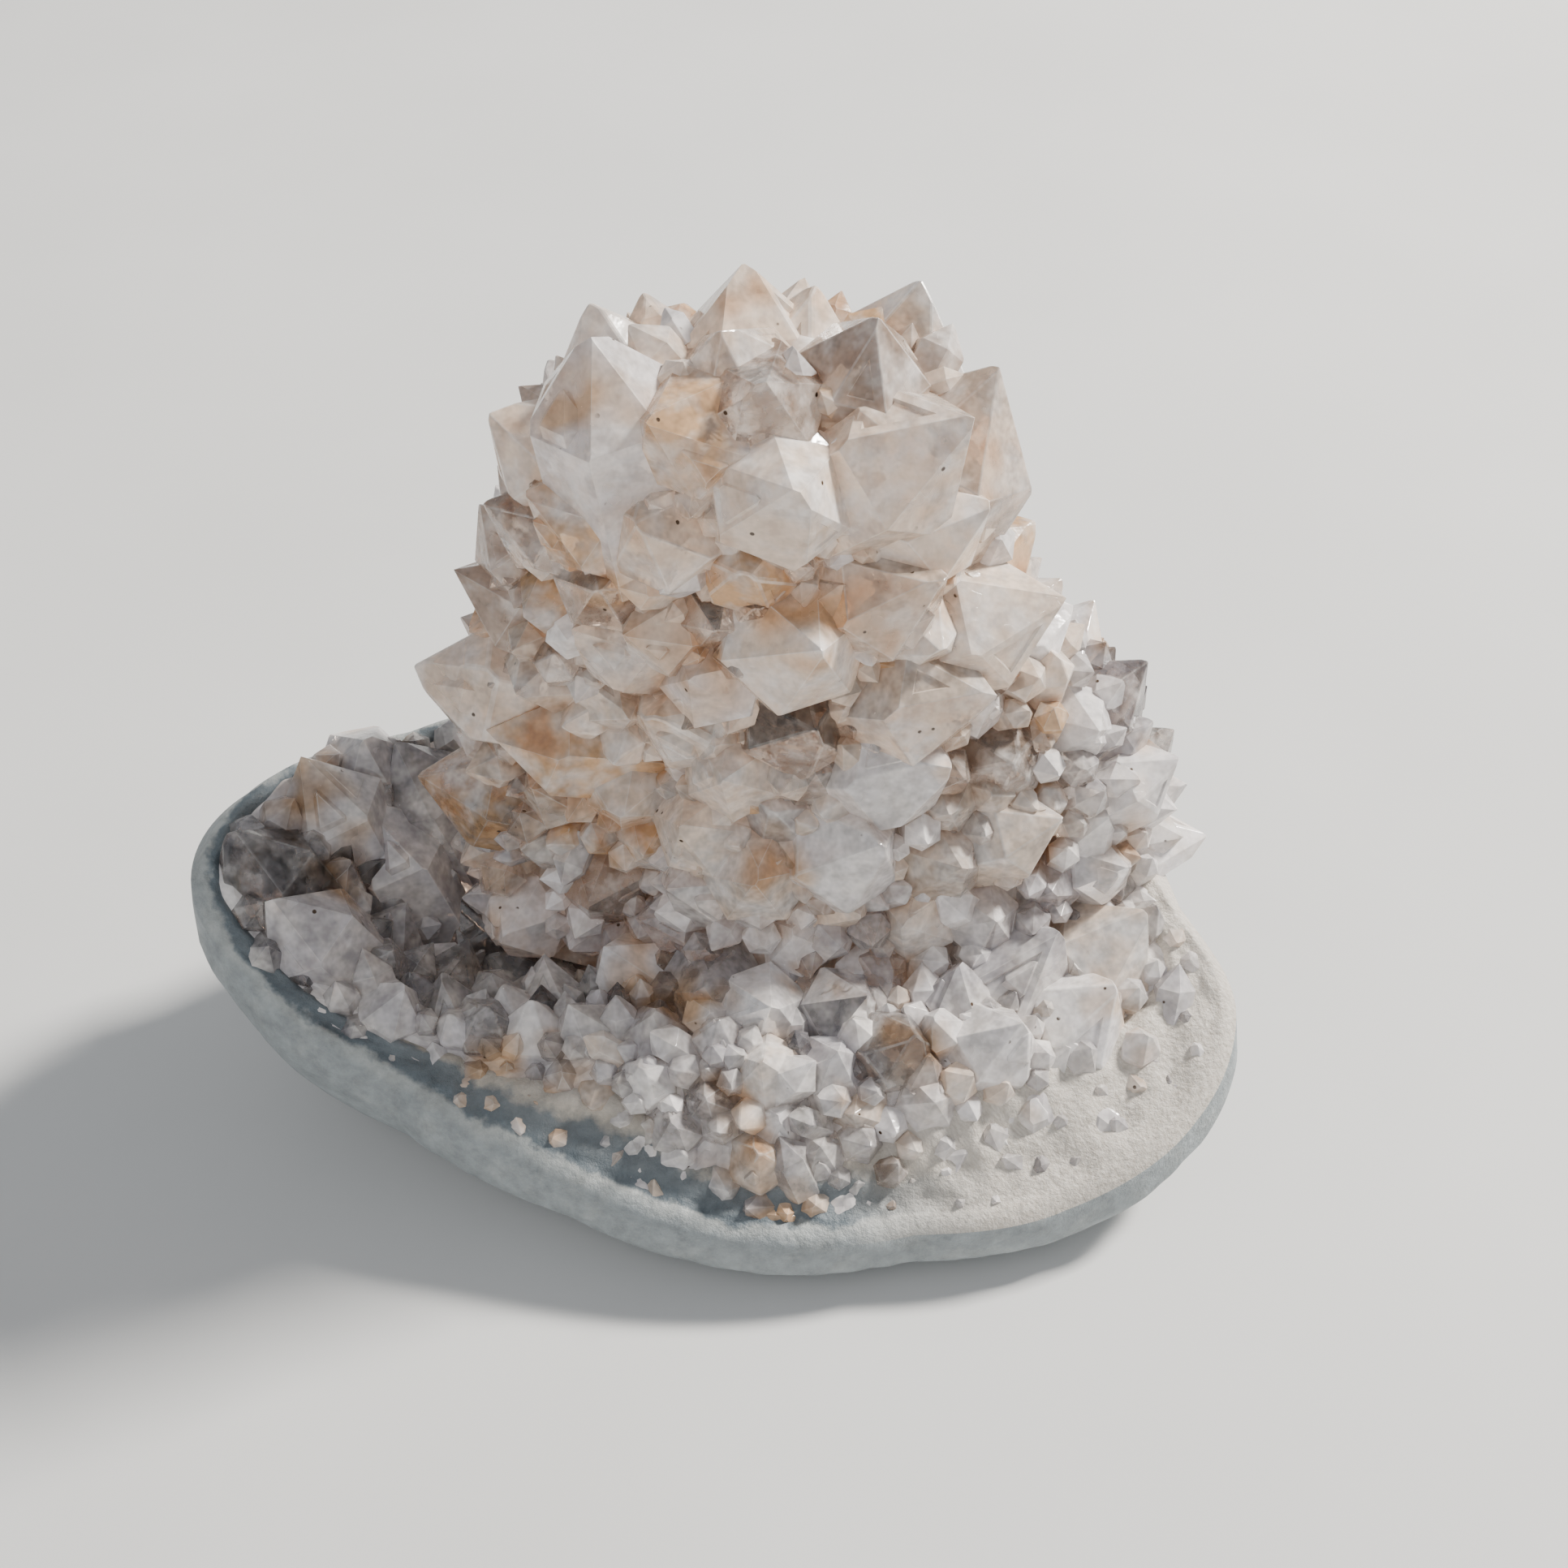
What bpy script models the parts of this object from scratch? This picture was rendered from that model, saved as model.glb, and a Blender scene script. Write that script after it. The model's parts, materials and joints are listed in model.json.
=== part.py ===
"""A skeletal quartz specimen, standing on the ground foot of its agate rind.

Two pieces, both at their real size:
  rind    the boat-shaped skin of agate that the quartz grew on, ground flat underneath
  quartz  the intergrown quartz: a crystal-covered bed with a stout tower of crystals on it

X runs to the right along the boat, Y away from the viewer, Z up. The origin is on the
surface that the specimen stands on, under the middle of its outline.
"""

import itertools
import math
import random

import bmesh
import bpy
from mathutils import Matrix, Vector

MM = 0.001

# The widest line of the rind, round the specimen: azimuth in degrees from +X, radius and height in mm,
# and how much of the way out to the lip the crystals reach there. Past that the quartz is massive and bare.
RIND_LINE = (
    (0, 55, 24, 0.92),
    (30, 49, 28, 0.95),
    (60, 44, 29, 0.95),
    (90, 40, 29, 0.95),
    (120, 40, 28, 0.95),
    (150, 48, 30, 0.95),
    (170, 59, 33, 0.95),
    (182, 63, 31, 0.94),
    (193, 57, 24, 0.86),
    (210, 44, 16, 0.74),
    (238, 36, 10, 0.70),
    (270, 36, 6, 0.84),
    (303, 41, 5, 0.82),
    (322, 51, 6, 0.72),
    (338, 60, 11, 0.78),
    (350, 62, 18, 0.86),
)
RIND_FOOT_CENTRE = (6, 3)
RIND_FOOT_RADII = (27, 19)
RIND_LIP_RISE = 4.0
RIND_LIP_WIDTH = 2.5
RIND_THICKNESS = 5.0
RIND_SIDES = 32
FIT_GAP = 0.3
CUTTER_REACH = 15

# The bed: a mound of quartz that rises from the lip to a plateau, with a hollow left of the tower.
BED_PLATEAU = 25
BED_SLOPE_SHARE = 0.45
HOLLOW_CENTRE = (-23, 3)
HOLLOW_RADII = (15, 11)
HOLLOW_DEPTH = 14
BED_SHARES = (0.98, 0.84, 0.70, 0.50, 0.25)
BED_SIDES = 24
CORE_INSET = 2.5
CORE_SINK = 2.0

# The tower's core: height, then how far it reaches left, right, to the front and to the back, in mm.
TOWER_CENTRE = (4, 11)
TOWER_SECTIONS = (
    (16, 36, 50, 24, 26),
    (32, 35, 49, 18, 27),
    (50, 32, 42, 14, 24),
    (62, 29, 32, 13, 20),
    (75, 26, 25, 13, 16),
    (90, 21, 21, 12, 14),
    (96, 16, 18, 9, 11),
    (99, 8, 10, 4, 5),
)
VALLEY_AZIMUTH = 222
VALLEY_HALF_WIDTH = 24
VALLEY_SHARE = 0.30
VALLEY_TOP = 84
TOWER_SIDES = 12

# The largest crystals on the tower, one by one: azimuth and height of the root, width across the flats,
# how steeply the crystal rises in degrees, and its prism's length as a share of its width.
TOWER_CRYSTALS = (
    (205, 93, 14, 82, 0.30),
    (100, 99, 18, 84, -0.25),
    (240, 99, 13, 70, -0.10),
    (165, 96, 11, 70, -0.05),
    (50, 98, 11, 75, -0.20),
    (358, 89, 17, 66, -0.05),
    (28, 93, 15, 72, -0.05),
    (272, 97, 13, 50, 0.00),
    (236, 95, 12, 38, 0.10),
    (283, 90, 14, 35, 0.10),
    (333, 91, 16, 42, 0.05),
    (336, 83, 12, 35, 0.10),
    (268, 81, 10, 30, 0.00),
    (322, 77, 14, 32, 0.05),
    (288, 72, 15, 30, 0.10),
    (346, 69, 14, 28, 0.10),
    (328, 62, 14, 20, 0.15),
    (290, 60, 12, 30, 0.00),
    (320, 53, 13, 28, 0.05),
    (232, 58, 12, 30, 0.10),
    (228, 71, 9, 25, 0.20),
    (248, 66, 11, 35, 0.00),
    (245, 44, 11, 40, 0.10),
    (258, 53, 11, 30, 0.00),
    (305, 43, 14, 38, 0.00),
    (338, 42, 10, 35, 0.10),
    (354, 42, 9, 40, 0.20),
    (270, 40, 12, 35, 0.00),
    (212, 68, 10, 30, 0.10),
    (205, 84, 11, 35, 0.10),
    (190, 80, 10, 30, 0.00),
    (180, 67, 11, 30, 0.00),
    (182, 55, 14, 15, 0.10),
    (196, 52, 12, 20, 0.00),
    (186, 40, 12, 20, 0.10),
)

# The largest on the bed: azimuth and share of the way to the lip, then as for the tower.
BED_CRYSTALS = (
    (156, 0.84, 13, 66, -0.05),
    (168, 0.88, 12, 74, 0.00),
    (180, 0.90, 12, 66, -0.05),
    (187, 0.84, 12, 62, -0.05),
    (167, 0.76, 12, 70, 0.00),
    (168, 0.60, 10, 70, 0.00),
    (180, 0.42, 14, 65, 0.00),
    (205, 0.25, 13, 60, 0.05),
    (262, 0.30, 12, 50, 0.05),
    (288, 0.40, 10, 50, 0.05),
    (316, 0.42, 9, 55, 0.05),
    (331, 0.66, 10, 60, 0.10),
    (349, 0.60, 15, 60, -0.10),
    (355, 0.82, 13, 60, -0.10),
    (344, 0.74, 12, 60, -0.05),
    (317, 0.60, 9, 60, 0.00),
)

# Quartz: the slope of a pyramid face, measured from the crystal's axis to the face's normal.
FACE_TILT = math.radians(51.8)
FACE_OFFSETS = (-0.08, 0.05)
ROOT_SHARE = 1.1
SEED = 7
CANDIDATES = 9000
BED_CANDIDATE_SHARE = 0.4
SPACING_SHARE = 0.77
LANDMARK_SPACING = 0.66


def smooth(share):
    """0 to 1 with a level start and end."""
    share = min(1.0, max(0.0, share))
    return share * share * (3 - 2 * share)


def around(stations, azimuth):
    """The stations' values at an azimuth in degrees, on a smooth closed curve through them."""
    count = len(stations)
    azimuth %= 360
    low = max(i for i in range(count) if stations[i][0] <= azimuth)
    picked = [stations[(low + step) % count] for step in (-1, 0, 1, 2)]
    span = (picked[2][0] - picked[1][0]) % 360
    t = ((azimuth - picked[1][0]) % 360) / span
    values = []
    for a, b, c, d in zip(*(station[1:] for station in picked)):
        values.append(b + 0.5 * t * (c - a + t * (2 * a - 5 * b + 4 * c - d + t * (3 * (b - c) + d - a))))
    return values


def polar(azimuth, radius, height=0.0, centre=(0.0, 0.0)):
    angle = math.radians(azimuth)
    return Vector((centre[0] + radius * math.cos(angle), centre[1] + radius * math.sin(angle), height))


def lip(azimuth):
    """The rind's upper edge: the outer and the inner corner of its narrow top."""
    radius, height, _ = around(RIND_LINE, azimuth)
    outer = polar(azimuth, radius - 0.8, height + RIND_LIP_RISE)
    return outer, polar(azimuth, radius - RIND_LIP_WIDTH, height + RIND_LIP_RISE + 0.4)


def dish_point(azimuth, share, rise=0.0):
    """A point on the rind's upper side, from its middle (share 0) to the lip's inner corner (share 1)."""
    corner = lip(azimuth)[1]
    middle = Vector((*RIND_FOOT_CENTRE, RIND_THICKNESS))
    flat = middle.lerp(corner, share)
    flat.z = RIND_THICKNESS + (corner.z - RIND_THICKNESS) * share ** 2.4 + rise
    return flat


def bed_point(azimuth, share):
    """A point on the bed's upper side, from its middle (share 0) to just inside the rind's lip (share 1)."""
    corner = lip(azimuth)[1]
    point = Vector((corner.x * share, corner.y * share, 0))
    rise = smooth((1 - share) / BED_SLOPE_SHARE)
    point.z = (corner.z + 0.5) * (1 - rise) + BED_PLATEAU * rise
    across = (point.x - HOLLOW_CENTRE[0]) / HOLLOW_RADII[0]
    along = (point.y - HOLLOW_CENTRE[1]) / HOLLOW_RADII[1]
    point.z -= HOLLOW_DEPTH * math.exp(-across * across - along * along)
    return point


def tower_reach(height):
    """How far the tower's core reaches left, right, forward and back at a height."""
    rows = TOWER_SECTIONS
    height = min(max(height, rows[0][0]), rows[-1][0])
    for below, above in zip(rows, rows[1:]):
        if height <= above[0]:
            t = (height - below[0]) / (above[0] - below[0])
            return [a + (b - a) * t for a, b in zip(below[1:], above[1:])]
    return list(rows[-1][1:])


def tower_point(azimuth, height):
    left, right, front, back = tower_reach(height)
    angle = math.radians(azimuth)
    reach_x = right if math.cos(angle) > 0 else left
    reach_y = back if math.sin(angle) > 0 else front
    radius = 1 / math.hypot(math.cos(angle) / reach_x, math.sin(angle) / reach_y)
    off_valley = ((azimuth - VALLEY_AZIMUTH + 180) % 360 - 180) / VALLEY_HALF_WIDTH
    fade = smooth((VALLEY_TOP - height) / 30)
    radius *= 1 - VALLEY_SHARE * fade * math.exp(-off_valley * off_valley)
    return polar(azimuth, radius, height, TOWER_CENTRE)


def new_object(name, bm, material):
    bmesh.ops.recalc_face_normals(bm, faces=bm.faces)
    bmesh.ops.scale(bm, vec=(MM, MM, MM), verts=bm.verts)
    mesh = bpy.data.meshes.new(name)
    bm.to_mesh(mesh)
    bm.free()
    mesh.materials.append(material)
    obj = bpy.data.objects.new(name, mesh)
    bpy.context.scene.collection.objects.link(obj)
    return obj


def close_rings(bm, rings, first, last):
    """Triangles between rings of points round an axis, with a fan to a single point at each end."""
    loops = [[bm.verts.new(point) for point in ring] for ring in rings]
    count = len(loops[0])
    for lower, upper in zip(loops, loops[1:]):
        for i in range(count):
            j = (i + 1) % count
            bm.faces.new((lower[i], lower[j], upper[j]))
            bm.faces.new((lower[i], upper[j], upper[i]))
    for loop, point in ((loops[0], first), (loops[-1], last)):
        tip = bm.verts.new(point)
        for i in range(count):
            bm.faces.new((loop[i], loop[(i + 1) % count], tip))


def material(name, colour, roughness):
    made = bpy.data.materials.new(name)
    made.use_nodes = True
    shader = made.node_tree.nodes["Principled BSDF"]
    shader.inputs["Base Color"].default_value = (*colour, 1)
    shader.inputs["Roughness"].default_value = roughness
    made.diffuse_color = (*colour, 1)
    return made


def rind_rings():
    """Rings of the rind's surface, from the edge of its foot up the outside and over the lip into the dish."""
    azimuths = [360 * i / RIND_SIDES for i in range(RIND_SIDES)]
    rings = []
    for share in (0, 0.25, 0.5, 0.75, 1):
        turn = math.radians(90 * share)
        ring = []
        for azimuth in azimuths:
            radius, height, _ = around(RIND_LINE, azimuth)
            angle = math.radians(azimuth)
            foot = Vector((RIND_FOOT_CENTRE[0] + RIND_FOOT_RADII[0] * math.cos(angle),
                           RIND_FOOT_CENTRE[1] + RIND_FOOT_RADII[1] * math.sin(angle), 0))
            point = foot.lerp(polar(azimuth, radius), math.sin(turn))
            point.z = height * (1 - math.cos(turn))
            ring.append(point)
        rings.append(ring)
    rings.append([lip(azimuth)[0] for azimuth in azimuths])
    for share in (1, 0.75, 0.5, 0.25):
        rings.append([dish_point(azimuth, share) for azimuth in azimuths])
    return rings


def make_rind(finish):
    bm = bmesh.new()
    close_rings(bm, rind_rings(), Vector((*RIND_FOOT_CENTRE, 0)), dish_point(0, 0))
    return new_object("rind", bm, finish)


def make_bed_core(finish):
    """The mound under the crystals. It reaches into the rind, which the cutter then takes away."""
    bm = bmesh.new()
    azimuths = [360 * i / BED_SIDES for i in range(BED_SIDES)]
    rings = [[dish_point(azimuth, share, -CORE_SINK) for azimuth in azimuths] for share in (0.4, 0.7, 0.95)]
    for share in BED_SHARES:
        ring = []
        for azimuth in azimuths:
            crystals_end = around(RIND_LINE, azimuth)[2]
            inset = CORE_INSET * smooth((crystals_end - share) / 0.15)
            ring.append(bed_point(azimuth, share) - Vector((0, 0, inset)))
        rings.append(ring)
    close_rings(bm, rings, dish_point(0, 0, -CORE_SINK), bed_point(0, 0) - Vector((0, 0, CORE_INSET)))
    return new_object("bed_core", bm, finish)


def make_tower_core(finish):
    bm = bmesh.new()
    rings = []
    for height, *_ in TOWER_SECTIONS:
        ring = []
        for i in range(TOWER_SIDES):
            point = tower_point(360 * i / TOWER_SIDES, height)
            axis = Vector((*TOWER_CENTRE, height))
            ring.append(point + (axis - point).normalized() * CORE_INSET)
        rings.append(ring)
    foot, top = TOWER_SECTIONS[0][0], TOWER_SECTIONS[-1][0]
    close_rings(bm, rings, Vector((*TOWER_CENTRE, foot)), Vector((*TOWER_CENTRE, top + 0.5)))
    return new_object("tower_core", bm, finish)


def solid_from_planes(planes):
    """The convex solid inside a set of planes, each given as its outward normal and its distance."""
    bm = bmesh.new()
    for (a, reach_a), (b, reach_b), (c, reach_c) in itertools.combinations(planes, 3):
        volume = a.dot(b.cross(c))
        if abs(volume) < 1e-4:
            continue
        corner = (b.cross(c) * reach_a + c.cross(a) * reach_b + a.cross(b) * reach_c) / volume
        if all(corner.dot(normal) < reach + 1e-4 for normal, reach in planes):
            bm.verts.new(corner)
    bmesh.ops.remove_doubles(bm, verts=bm.verts, dist=0.01)
    bmesh.ops.convex_hull(bm, input=bm.verts)
    bmesh.ops.dissolve_limit(bm, angle_limit=math.radians(1), verts=bm.verts, edges=bm.edges)
    return bm


def crystal(width, prism, depth, rng):
    """One quartz crystal on its own axis: six prism faces, and six pyramid faces that differ a little."""
    peak = prism + width / 2 * math.tan(FACE_TILT)
    planes = [(Vector((0, 0, -1)), depth)]
    for side in range(6):
        turn = math.radians(60 * side)
        outward = Vector((math.cos(turn), math.sin(turn), 0))
        slant = outward * math.sin(FACE_TILT) + Vector((0, 0, math.cos(FACE_TILT)))
        planes.append((outward, width / 2))
        planes.append((slant, (peak + width * rng.uniform(*FACE_OFFSETS)) * math.cos(FACE_TILT)))
    return solid_from_planes(planes)


def surface_frame(point_at, u, v, du, dv):
    """A point of a surface and its outward normal, from three nearby points."""
    here = point_at(u, v)
    along = point_at(u + du, v) - here
    across = point_at(u, v + dv) - here
    return here, along.cross(across).normalized()


def size_at(point, share):
    """How wide crystals grow at a place: small by the rind's front edge, largest at the tower's top."""
    if share is not None:
        return 9.5 - 2.5 * smooth((-point.y - 8) / 14)
    behind = smooth((point.y - TOWER_CENTRE[1]) / 10)
    return 9.5 + 3.0 * smooth((point.z - 70) / 20) + 1.5 * behind


def inside_tower(point):
    offset = point - Vector((*TOWER_CENTRE, 0))
    azimuth = math.degrees(math.atan2(offset.y, offset.x))
    reach = tower_point(azimuth, point.z) - Vector((*TOWER_CENTRE, point.z))
    return offset.to_2d().length < reach.length - 1.5


def pokes_through_rind(point, axis, width):
    """Whether a crystal's point would come out through the side of the rind."""
    tip = point + axis * width * 0.7
    corner = lip(math.degrees(math.atan2(tip.y, tip.x)))[0]
    return tip.to_2d().length > corner.to_2d().length - 1 and tip.z < corner.z + 2


def landmark(surface, azimuth, station, width, rise, prism):
    """One large crystal, set by hand: root, axis, width, turn about its axis, and prism share."""
    outward = polar(azimuth, math.cos(math.radians(rise)), math.sin(math.radians(rise)))
    return surface(azimuth, station), outward, width, azimuth * 7 % 60, prism


def scatter():
    """Every crystal's root, axis, width, turn and prism share: those set by hand, then more between them."""
    rng = random.Random(SEED)
    places = [landmark(tower_point, *row) for row in TOWER_CRYSTALS]
    places += [landmark(bed_point, *row) for row in BED_CRYSTALS]
    by_hand = len(places)
    for _ in range(CANDIDATES):
        azimuth = rng.uniform(0, 360)
        if rng.random() < BED_CANDIDATE_SHARE:
            share = math.sqrt(rng.uniform(0.02, 0.95))
            if share > around(RIND_LINE, azimuth)[2]:
                continue
            point, normal = surface_frame(bed_point, azimuth, share, 1, -0.01)
            if inside_tower(point):
                continue
        else:
            share = None
            height = rng.uniform(BED_PLATEAU - 2, TOWER_SECTIONS[-1][0] - 0.3)
            point, normal = surface_frame(tower_point, azimuth, height, 1, 0.2)
        width = size_at(point, share) * rng.uniform(0.8, 1.2)
        tilt = Vector((rng.gauss(0, 0.18), rng.gauss(0, 0.18), rng.gauss(0, 0.18)))
        axis = (normal + Vector((0, 0, 0.35)) + tilt).normalized()
        turn = rng.uniform(0, 60)
        prism = rng.uniform(-0.2, 0.1)
        if pokes_through_rind(point, axis, width):
            continue
        clear = True
        for number, other in enumerate(places):
            spacing = LANDMARK_SPACING if number < by_hand else SPACING_SHARE
            if (point - other[0]).length < spacing * (width + other[2]) / 2:
                clear = False
                break
        if clear:
            places.append((point, axis, width, turn, prism))
    return places


def make_crystals(finish, collection):
    rng = random.Random(SEED + 1)
    places = scatter()
    for number, (point, axis, width, turn, prism) in enumerate(places):
        bm = crystal(width, prism * width, ROOT_SHARE * width, rng)
        place = Matrix.Translation(point) @ axis.to_track_quat("Z", "Y").to_matrix().to_4x4()
        place = place @ Matrix.Rotation(math.radians(turn), 4, "Z")
        bmesh.ops.transform(bm, matrix=place, verts=bm.verts)
        obj = new_object(f"crystal_{number}", bm, finish)
        bpy.context.scene.collection.objects.unlink(obj)
        collection.objects.link(obj)
    print("crystals", len(places))


def make_cutter(finish):
    """What the quartz must stay clear of: the rind and all that lies under it, grown by the fit gap."""
    bm = bmesh.new()
    azimuths = [360 * i / RIND_SIDES for i in range(RIND_SIDES)]
    low = []
    high = []
    for azimuth in azimuths:
        radius, height, _ = around(RIND_LINE, azimuth)
        low.append(polar(azimuth, radius + CUTTER_REACH, -5))
        high.append(polar(azimuth, radius + CUTTER_REACH, height + RIND_LIP_RISE + FIT_GAP))
    rings = [low, high]
    for share in (1, 0.75, 0.5, 0.25):
        rings.append([dish_point(azimuth, share, FIT_GAP) for azimuth in azimuths])
    close_rings(bm, rings, Vector((*RIND_FOOT_CENTRE, -5)), dish_point(0, 0, FIT_GAP))
    return new_object("cutter", bm, finish)


def apply_modifiers(obj):
    graph = bpy.context.evaluated_depsgraph_get()
    mesh = bpy.data.meshes.new_from_object(obj.evaluated_get(graph))
    obj.modifiers.clear()
    obj.data = mesh


def keep_largest_body(obj):
    """Drop the chips that the trimming cut loose at the lip."""
    bm = bmesh.new()
    bm.from_mesh(obj.data)
    left = set(bm.verts)
    bodies = []
    while left:
        queue = [left.pop()]
        body = []
        while queue:
            vert = queue.pop()
            body.append(vert)
            for edge in vert.link_edges:
                other = edge.other_vert(vert)
                if other in left:
                    left.remove(other)
                    queue.append(other)
        bodies.append(body)
    bodies.sort(key=len)
    for chip in bodies[:-1]:
        bmesh.ops.delete(bm, geom=chip, context="VERTS")
    bm.to_mesh(obj.data)
    bm.free()


def stand_over_origin(objects):
    """Move the specimen so that the middle of its outline is over the origin. Its foot is at Z 0 already."""
    corners = [vert.co for obj in objects for vert in obj.data.vertices]
    middle_x = (min(c.x for c in corners) + max(c.x for c in corners)) / 2
    middle_y = (min(c.y for c in corners) + max(c.y for c in corners)) / 2
    for obj in objects:
        obj.data.transform(Matrix.Translation((-middle_x, -middle_y, 0)))
    print("moved by", round(-middle_x / MM, 2), round(-middle_y / MM, 2), "mm")


def main():
    for obj in list(bpy.data.objects):
        bpy.data.objects.remove(obj)
    agate = material("agate", (0.42, 0.44, 0.44), 0.45)
    quartz = material("quartz", (0.72, 0.62, 0.55), 0.15)
    rind = make_rind(agate)
    growth = bpy.data.collections.new("growth")
    bpy.context.scene.collection.children.link(growth)
    make_crystals(quartz, growth)
    tower = make_tower_core(quartz)
    bpy.context.scene.collection.objects.unlink(tower)
    growth.objects.link(tower)
    body = make_bed_core(quartz)
    body.name = "quartz"
    join = body.modifiers.new("join", "BOOLEAN")
    join.operation = "UNION"
    join.operand_type = "COLLECTION"
    join.collection = growth
    join.solver = "EXACT"
    cutter = make_cutter(quartz)
    trim = body.modifiers.new("trim", "BOOLEAN")
    trim.operation = "DIFFERENCE"
    trim.object = cutter
    trim.solver = "EXACT"
    apply_modifiers(body)
    keep_largest_body(body)
    for obj in list(growth.objects) + [cutter]:
        bpy.data.objects.remove(obj)
    bpy.data.collections.remove(growth)
    stand_over_origin([rind, body])
    print("triangles", sum(len(p.vertices) - 2 for p in body.data.polygons))


main()
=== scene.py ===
"""The looks of the skeletal quartz specimen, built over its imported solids.

The crystals stand where the solids' crystals stand, with rounded edges, sunken faces, parallel
side growth and finer crystals between them. The rind gets its agate bands and fibres.
"""

import itertools
import json
import math
import random

import bmesh
import bpy
from mathutils import Matrix, Vector, noise

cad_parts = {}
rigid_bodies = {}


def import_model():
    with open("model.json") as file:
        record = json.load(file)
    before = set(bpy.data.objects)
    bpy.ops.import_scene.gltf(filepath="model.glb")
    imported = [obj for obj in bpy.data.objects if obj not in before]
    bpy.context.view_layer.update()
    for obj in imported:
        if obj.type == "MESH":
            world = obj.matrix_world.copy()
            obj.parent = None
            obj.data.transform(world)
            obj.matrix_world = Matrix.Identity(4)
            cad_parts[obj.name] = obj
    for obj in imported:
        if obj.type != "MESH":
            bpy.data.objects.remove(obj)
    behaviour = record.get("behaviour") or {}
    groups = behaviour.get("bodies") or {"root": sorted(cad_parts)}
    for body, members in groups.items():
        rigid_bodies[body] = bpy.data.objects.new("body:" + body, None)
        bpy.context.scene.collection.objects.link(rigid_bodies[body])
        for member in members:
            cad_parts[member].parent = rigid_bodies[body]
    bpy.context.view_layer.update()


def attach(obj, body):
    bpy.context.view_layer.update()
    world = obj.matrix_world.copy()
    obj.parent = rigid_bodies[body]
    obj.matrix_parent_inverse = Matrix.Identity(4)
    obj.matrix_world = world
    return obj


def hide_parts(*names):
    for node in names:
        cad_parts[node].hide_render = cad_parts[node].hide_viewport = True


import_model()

MM = 0.001

# How far the solids were moved to stand over the origin, in mm.
SHIFT = (0.99, -3.07)

# The widest line of the rind: azimuth, radius, height, and how far out to the lip the crystals reach.
RIND_LINE = (
    (0, 55, 24, 0.92),
    (30, 49, 28, 0.95),
    (60, 44, 29, 0.95),
    (90, 40, 29, 0.95),
    (120, 40, 28, 0.95),
    (150, 48, 30, 0.95),
    (170, 59, 33, 0.95),
    (182, 63, 31, 0.94),
    (193, 57, 24, 0.86),
    (210, 44, 16, 0.74),
    (238, 36, 10, 0.70),
    (270, 36, 6, 0.84),
    (303, 41, 5, 0.82),
    (322, 51, 6, 0.72),
    (338, 60, 11, 0.78),
    (350, 62, 18, 0.86),
)
RIND_FOOT_CENTRE = (6, 3)
RIND_FOOT_RADII = (27, 19)
RIND_LIP_RISE = 4.0
RIND_LIP_WIDTH = 2.5
RIND_THICKNESS = 5.0
FIT_GAP = 0.3
CUTTER_REACH = 15
CUTTER_SIDES = 64

# How wide the bare, banded edge of the broken agate is on the upper side: azimuth and width in mm.
BAND_WIDTH = (
    (0, 4),
    (30, 3),
    (90, 3),
    (150, 3),
    (182, 3),
    (196, 5),
    (215, 8),
    (240, 9),
    (270, 6),
    (300, 8),
    (322, 15),
    (338, 16),
    (350, 9),
)

BED_PLATEAU = 25
BED_SLOPE_SHARE = 0.45
HOLLOW_CENTRE = (-23, 3)
HOLLOW_RADII = (15, 11)
HOLLOW_DEPTH = 14

# The tower's core: height, then how far it reaches left, right, to the front and to the back, in mm.
TOWER_CENTRE = (4, 11)
TOWER_SECTIONS = (
    (16, 36, 50, 24, 26),
    (32, 35, 49, 18, 27),
    (50, 32, 42, 14, 24),
    (62, 29, 32, 13, 20),
    (75, 26, 25, 13, 16),
    (90, 21, 21, 12, 14),
    (96, 16, 18, 9, 11),
    (99, 8, 10, 4, 5),
)
CORE_INSET = 2.5
VALLEY_AZIMUTH = 222
VALLEY_HALF_WIDTH = 24
VALLEY_SHARE = 0.30
VALLEY_TOP = 84

# The largest crystals on the tower: azimuth, height, width, rise in degrees, prism share.
TOWER_CRYSTALS = (
    (205, 93, 14, 82, 0.30),
    (100, 99, 18, 84, -0.25),
    (240, 99, 13, 70, -0.10),
    (165, 96, 11, 70, -0.05),
    (50, 98, 11, 75, -0.20),
    (358, 89, 17, 66, -0.05),
    (28, 93, 15, 72, -0.05),
    (272, 97, 13, 50, 0.00),
    (236, 95, 12, 38, 0.10),
    (283, 90, 14, 35, 0.10),
    (333, 91, 16, 42, 0.05),
    (336, 83, 12, 35, 0.10),
    (268, 81, 10, 30, 0.00),
    (322, 77, 14, 32, 0.05),
    (288, 72, 15, 30, 0.10),
    (346, 69, 14, 28, 0.10),
    (328, 62, 14, 20, 0.15),
    (290, 60, 12, 30, 0.00),
    (320, 53, 13, 28, 0.05),
    (232, 58, 12, 30, 0.10),
    (228, 71, 9, 25, 0.20),
    (248, 66, 11, 35, 0.00),
    (245, 44, 11, 40, 0.10),
    (258, 53, 11, 30, 0.00),
    (305, 43, 14, 38, 0.00),
    (338, 42, 10, 35, 0.10),
    (354, 42, 9, 40, 0.20),
    (270, 40, 12, 35, 0.00),
    (212, 68, 10, 30, 0.10),
    (205, 84, 11, 35, 0.10),
    (190, 80, 10, 30, 0.00),
    (180, 67, 11, 30, 0.00),
    (182, 55, 14, 15, 0.10),
    (196, 52, 12, 20, 0.00),
    (186, 40, 12, 20, 0.10),
)

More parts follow.
